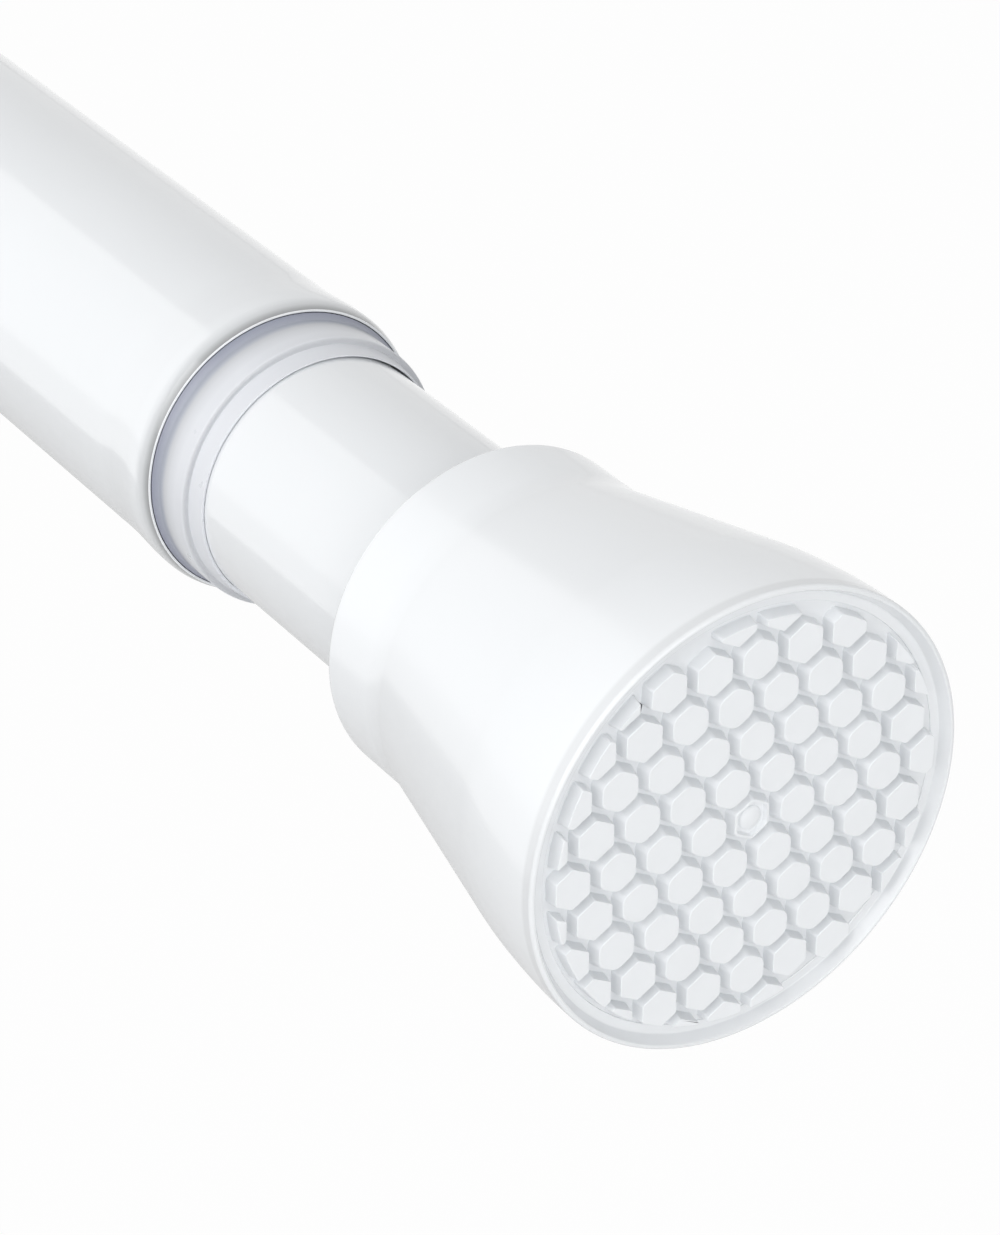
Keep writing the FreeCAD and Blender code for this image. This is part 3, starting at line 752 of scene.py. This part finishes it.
def pad_mesh():
    """Rubber pad drawn at the origin's end: grooves, drafted studs with rounded edges, and the snap spigot."""
    p = settings().pad
    bm = bmesh.new()
    numbers = stud_field(bm, p)
    least = sqrt(3) / 2 * p.base_flats ** 2 * p.least_share / 2
    cut = [face for number in numbers[GATE_STUD:] for face in faces_of(bm, number, least)]
    for studs, base, height in ((faces_of(bm, CLEAR_STUD), p.base_flats, p.stud_height),
                                (faces_of(bm, GATE_STUD), p.base_flats, p.stud_height - p.gate_drop),
                                (cut, p.cut_flats, p.stud_height)):
        bmesh.ops.inset_individual(bm, faces=studs, thickness=(base - p.top_flats) / 2, depth=height,
                                   use_even_offset=True)
    bm.normal_update()
    bm.edges.index_update()
    round_studs(bm, p, numbers, least)
    middle = [face for face in faces_of(bm, GATE_STUD, least) if face.normal.x < -FLAT]
    bmesh.ops.inset_individual(bm, faces=middle, thickness=p.gate_border, use_even_offset=True)
    bmesh.ops.inset_individual(bm, faces=middle, thickness=p.gate_depth / 3, depth=-p.gate_depth,
                               use_even_offset=True)
    back, neck, tip = p.thickness, p.thickness + SPIGOT_NECK, p.thickness + SPIGOT_LENGTH
    rings = [(p.radius, 0), (p.radius, back), (p.spigot_radius, back), (p.spigot_radius, neck),
             (p.spigot_head, neck), (p.spigot_radius, tip)]
    radius, place = p.border, 0
    border = [edge for edge in bm.edges if edge.is_boundary]
    for next_radius, next_place in rings:
        border = stretch_border(bm, border, next_radius / radius, next_place - place)
        radius, place = next_radius, next_place
    bmesh.ops.edgeloop_fill(bm, edges=border)
    bmesh.ops.translate(bm, verts=bm.verts, vec=Vector((p.stud_height, 0, 0)))
    for vert in bm.verts:
        vert.co.x = max(vert.co.x, 0)
    mark_place = Matrix.Translation((p.gate_drop + p.gate_depth, p.pattern_y, p.pattern_z))
    mark = mark_place @ Matrix.Diagonal((p.gate_swell, 1, 1, 1))
    bmesh.ops.create_uvsphere(bm, u_segments=24, v_segments=12, radius=p.gate_radius, matrix=mark)
    return bm


class ROD_OT_pads(bpy.types.Operator):
    """Make the two studded rubber pads"""
    bl_idname = "rod.pads"
    bl_label = "Pads"

    def execute(self, context):
        rubber = pad_rubber()
        far = pad_mesh()
        near = far.copy()
        turn_round(near)
        hand_over("inner_pad", near, "inner_side", rubber, ["inner_end_pad"])
        hand_over("outer_pad", far, "outer_side", rubber, ["outer_end_pad"])
        return {"FINISHED"}


WIRE_SIDES = 16
TURN_STEPS = 48
GROUND_SHARE = 0.6
CLOSED_SHARE = 1.02


class ROD_OT_spring(bpy.types.Operator):
    """Make the compression spring with closed, ground ends"""
    bl_idname = "rod.spring"
    bl_label = "Compression spring"

    def execute(self, context):
        s = settings().spring
        start, end = node_start("compression_spring"), node_end("compression_spring")
        reach = s.wire / 2
        first = start + GROUND_SHARE * reach
        closed_pitch = s.wire * CLOSED_SHARE
        open_turns = s.turns - 2
        open_pitch = (end - GROUND_SHARE * reach - first - 2 * closed_pitch) / open_turns
        bm = bmesh.new()
        ring = Matrix.Translation((first, 0, s.mean_radius)) @ Matrix.Rotation(pi / 2, 4, "X")
        bmesh.ops.create_circle(bm, segments=WIRE_SIDES, radius=reach, matrix=ring)
        last = bm.verts[:] + bm.edges[:]
        for turns, pitch in ((1, closed_pitch), (open_turns, open_pitch), (1, closed_pitch)):
            last = bmesh.ops.spin(bm, geom=last, cent=CENTRE, axis=AXIS, dvec=Vector((pitch / TURN_STEPS, 0, 0)),
                                  angle=2 * pi * turns, steps=TURN_STEPS * turns, use_merge=False,
                                  use_duplicate=False)["geom_last"]
        for place, outwards in ((start, -AXIS), (end, AXIS)):
            bmesh.ops.bisect_plane(bm, geom=bm.verts[:] + bm.edges[:] + bm.faces[:], dist=SAME_PLACE,
                                   plane_co=AXIS * place, plane_no=outwards, clear_outer=True)
        bmesh.ops.holes_fill(bm, edges=[edge for edge in bm.edges if edge.is_boundary])
        piece = hand_over("coil_spring", bm, "core_side", spring_steel(), ["compression_spring"])
        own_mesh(piece)
        return {"FINISHED"}


class ROD_OT_lock(bpy.types.Operator):
    """Finish the pieces of the lock and the slide, which keep their solids"""
    bl_idname = "rod.lock"
    bl_label = "Lock and slide"

    def execute(self, context):
        plain, dark, spring, plated = lock_plastic(), core_plastic(), spring_steel(), plated_steel()
        finishes = {
            "lock_ring": plain, "slider_plug": plain, "guide_bush": plain,
            "lock_core": dark,
            "lock_band_rear": spring, "lock_band_front": spring,
        }
        for node in ("keeper_plate", "keeper_screw", "core_pin", "push_rod", "core_seat_washer",
                     "plug_seat_washer", "stop_washer", "stop_nut", "plug_pins"):
            finishes[node] = plated
        for node, material in finishes.items():
            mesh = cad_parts[node].data
            mesh.materials.clear()
            mesh.materials.append(material)
        return {"FINISHED"}


WHITE = (1, 1, 1, 1)
AIM_DEPTH = 0.03
SOFTBOX_SIZE = (1.1, 1.1)
FRONT_PLACE = (1.43, -0.18, 0.22)
LEFT_PLACE = (0.56, -0.83, 0.70)
BACK_CARD_PLACE = (-1.0, -0.62, 0.47)
BACK_CARD_AIM = (-0.12, -0.15, 0.47)
BACK_CARD_SIZE = (1.8, 1.9)
BACK_CARD_ROLL = radians(-20)
FLOOR_CARD_PLACE = (-1.9, 2.25)
FLOOR_CARD_SIZE = (4.6, 3.6)
FLOOR_CARD_GAP = 0.01
SENSOR_WIDTH = 36
CLIP_START = 0.01


def softbox(name, place, aim, size, strength, roll=0, reflections_only=False):
    """Soft light of the given size and radiance that faces its aim."""
    width, height = size
    data = bpy.data.lights.new(name, "AREA")
    data.shape = "RECTANGLE"
    data.size, data.size_y = width, height
    data.energy = strength * width * height * pi
    lamp = bpy.data.objects.new(name, data)
    lamp.location = place
    lamp.rotation_euler = (Vector(aim) - Vector(place)).to_track_quat("-Z", "Y").to_euler()
    lamp.rotation_euler.rotate_axis("Z", roll)
    lamp.visible_diffuse = not reflections_only
    bpy.context.scene.collection.objects.link(lamp)


def seen_rays(tree, direct, mirrored):
    """Share of the white ground that camera rays see, and that rays see in reflections and through the collar."""
    path = tree.nodes.new("ShaderNodeLightPath")
    total = None
    for name, part in (("Is Camera Ray", direct), ("Is Glossy Ray", mirrored), ("Is Transmission Ray", mirrored)):
        scaled = tree.nodes.new("ShaderNodeMath")
        scaled.operation = "MULTIPLY"
        scaled.inputs[1].default_value = part
        tree.links.new(path.outputs[name], scaled.inputs[0])
        if total:
            larger = tree.nodes.new("ShaderNodeMath")
            larger.operation = "MAXIMUM"
            tree.links.new(total, larger.inputs[0])
            tree.links.new(scaled.outputs["Value"], larger.inputs[1])
            scaled = larger
        total = scaled.outputs["Value"]
    return total


def white_world(strength):
    """White to the camera and in reflections, and even light of the given strength on the object."""
    world = bpy.data.worlds.new("White room")
    bpy.context.scene.world = world
    world.use_nodes = True
    tree = world.node_tree
    light = tree.nodes["Background"]
    light.inputs["Strength"].default_value = strength
    light.inputs["Color"].default_value = WHITE
    seen = tree.nodes.new("ShaderNodeBackground")
    seen.inputs["Color"].default_value = WHITE
    mix = tree.nodes.new("ShaderNodeMixShader")
    tree.links.new(seen_rays(tree, 1, 1), mix.inputs["Fac"])
    tree.links.new(light.outputs["Background"], mix.inputs[1])
    tree.links.new(seen.outputs["Background"], mix.inputs[2])
    tree.links.new(mix.outputs["Shader"], tree.nodes["World Output"].inputs["Surface"])


def floor_material(direct, mirrored):
    """Pale floor that looks white to the camera and keeps part of its own light and shadow."""
    material = bpy.data.materials.new("Floor")
    material.use_nodes = True
    tree = material.node_tree
    shader = tree.nodes["Principled BSDF"]
    shader.inputs["Base Color"].default_value = (0.8, 0.8, 0.8, 1)
    shader.inputs["Roughness"].default_value = 0.9
    glow = tree.nodes.new("ShaderNodeEmission")
    glow.inputs["Color"].default_value = WHITE
    mix = tree.nodes.new("ShaderNodeMixShader")
    tree.links.new(seen_rays(tree, direct, mirrored), mix.inputs["Fac"])
    tree.links.new(shader.outputs["BSDF"], mix.inputs[1])
    tree.links.new(glow.outputs["Emission"], mix.inputs[2])
    tree.links.new(mix.outputs["Shader"], tree.nodes["Material Output"].inputs["Surface"])
    return material


class ROD_OT_stage(bpy.types.Operator):
    """Set the floor, the soft light and the camera"""
    bl_idname = "rod.stage"
    bl_label = "Stage"

    def execute(self, context):
        s = settings().stage
        scene = context.scene
        scene.view_settings.view_transform = "Standard"
        bm = bmesh.new()
        bmesh.ops.create_grid(bm, x_segments=1, y_segments=1, size=s.floor_size / 2,
                              matrix=Matrix.Translation((0, 0, -s.floor_drop)))
        mesh = bpy.data.meshes.new("floor")
        bm.to_mesh(mesh)
        bm.free()
        mesh.materials.append(floor_material(s.floor_white, s.floor_mirror))
        floor = bpy.data.objects.new("floor", mesh)
        scene.collection.objects.link(floor)
        white_world(s.ambient)
        foot = (node_end("inner_end_pad") - AIM_DEPTH, 0, 0)
        softbox("front_softbox", FRONT_PLACE, foot, SOFTBOX_SIZE, s.front_light)
        softbox("left_softbox", LEFT_PLACE, foot, SOFTBOX_SIZE, s.left_light)
        softbox("back_card", BACK_CARD_PLACE, BACK_CARD_AIM, BACK_CARD_SIZE, s.back_card, BACK_CARD_ROLL, True)
        low, above = (*FLOOR_CARD_PLACE, FLOOR_CARD_GAP - s.floor_drop), (*FLOOR_CARD_PLACE, 1)
        softbox("floor_card", low, above, FLOOR_CARD_SIZE, s.floor_card, reflections_only=True)
        camera_data = bpy.data.cameras.new("photo_camera")
        camera_data.lens = s.lens
        camera_data.sensor_width = SENSOR_WIDTH
        camera_data.clip_start = CLIP_START
        camera = bpy.data.objects.new("photo_camera", camera_data)
        turn = Vector(s.camera_direction).to_track_quat("-Z", "Y") @ Euler((0, 0, s.camera_roll)).to_quaternion()
        camera.matrix_world = Matrix.Translation(s.camera_place) @ turn.to_matrix().to_4x4()
        scene.collection.objects.link(camera)
        scene.camera = camera
        return {"FINISHED"}


class ROD_PT_panel(bpy.types.Panel):
    """Buttons for each group of pieces and for the stage"""
    bl_label = "Tension rod"
    bl_space_type = "VIEW_3D"
    bl_region_type = "UI"
    bl_category = "Rod"

    def draw(self, context):
        for operator in OPERATORS:
            self.layout.operator(operator.bl_idname)


OPERATORS = (ROD_OT_tubes, ROD_OT_collar, ROD_OT_feet, ROD_OT_pads, ROD_OT_spring, ROD_OT_lock, ROD_OT_stage)
CLASSES = (TubeSizes, FootSizes, PadSizes, SpringSizes, Finishes, StageSettings, RodSettings, *OPERATORS,
           ROD_PT_panel)


def register():
    for item in CLASSES:
        bpy.utils.register_class(item)
    bpy.types.Scene.rod_settings = PointerProperty(type=RodSettings)


def unregister():
    del bpy.types.Scene.rod_settings
    for item in reversed(CLASSES):
        bpy.utils.unregister_class(item)


def main():
    register()
    bpy.ops.rod.tubes()
    bpy.ops.rod.collar()
    bpy.ops.rod.feet()
    bpy.ops.rod.pads()
    bpy.ops.rod.spring()
    bpy.ops.rod.lock()
    bpy.ops.rod.stage()


if __name__ == "__main__":
    main()
